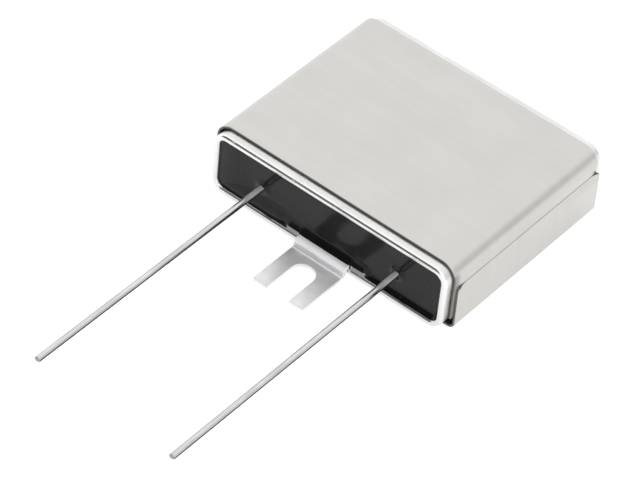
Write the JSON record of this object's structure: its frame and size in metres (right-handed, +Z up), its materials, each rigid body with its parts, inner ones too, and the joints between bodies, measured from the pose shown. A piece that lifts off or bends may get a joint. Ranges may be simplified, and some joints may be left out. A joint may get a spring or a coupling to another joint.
{
  "type": "electrolytic capacitor",
  "caption": "Flat sealed electrolytic capacitor in a wrapped steel sleeve, with axial wire leads and a slotted mounting tab at its potted front.",
  "frame": {"origin": "under the middle of the can, on the outer bottom face of the sleeve, where the part rests", "axes": "+X across the can towards the sleeve's lapped side, -Y along the leads and the tab, away from the potted front, +Z up through the can's thickness"},
  "size_m": [0.0463, 0.0871, 0.0125],
  "materials": {
    "can": "satin",
    "potting": "glossy black epoxy",
    "leads": "bright drawn wire",
    "sleeve": "satin rolled sheet",
    "tab": "bright stamped sheet"
  },
  "bodies": {
    "root": {"can": "can", "potting": "potting", "negative_lead": "leads", "positive_lead": "leads", "outer_sleeve": "sleeve", "mounting_tab": "tab"}
  },
  "joints": []
}
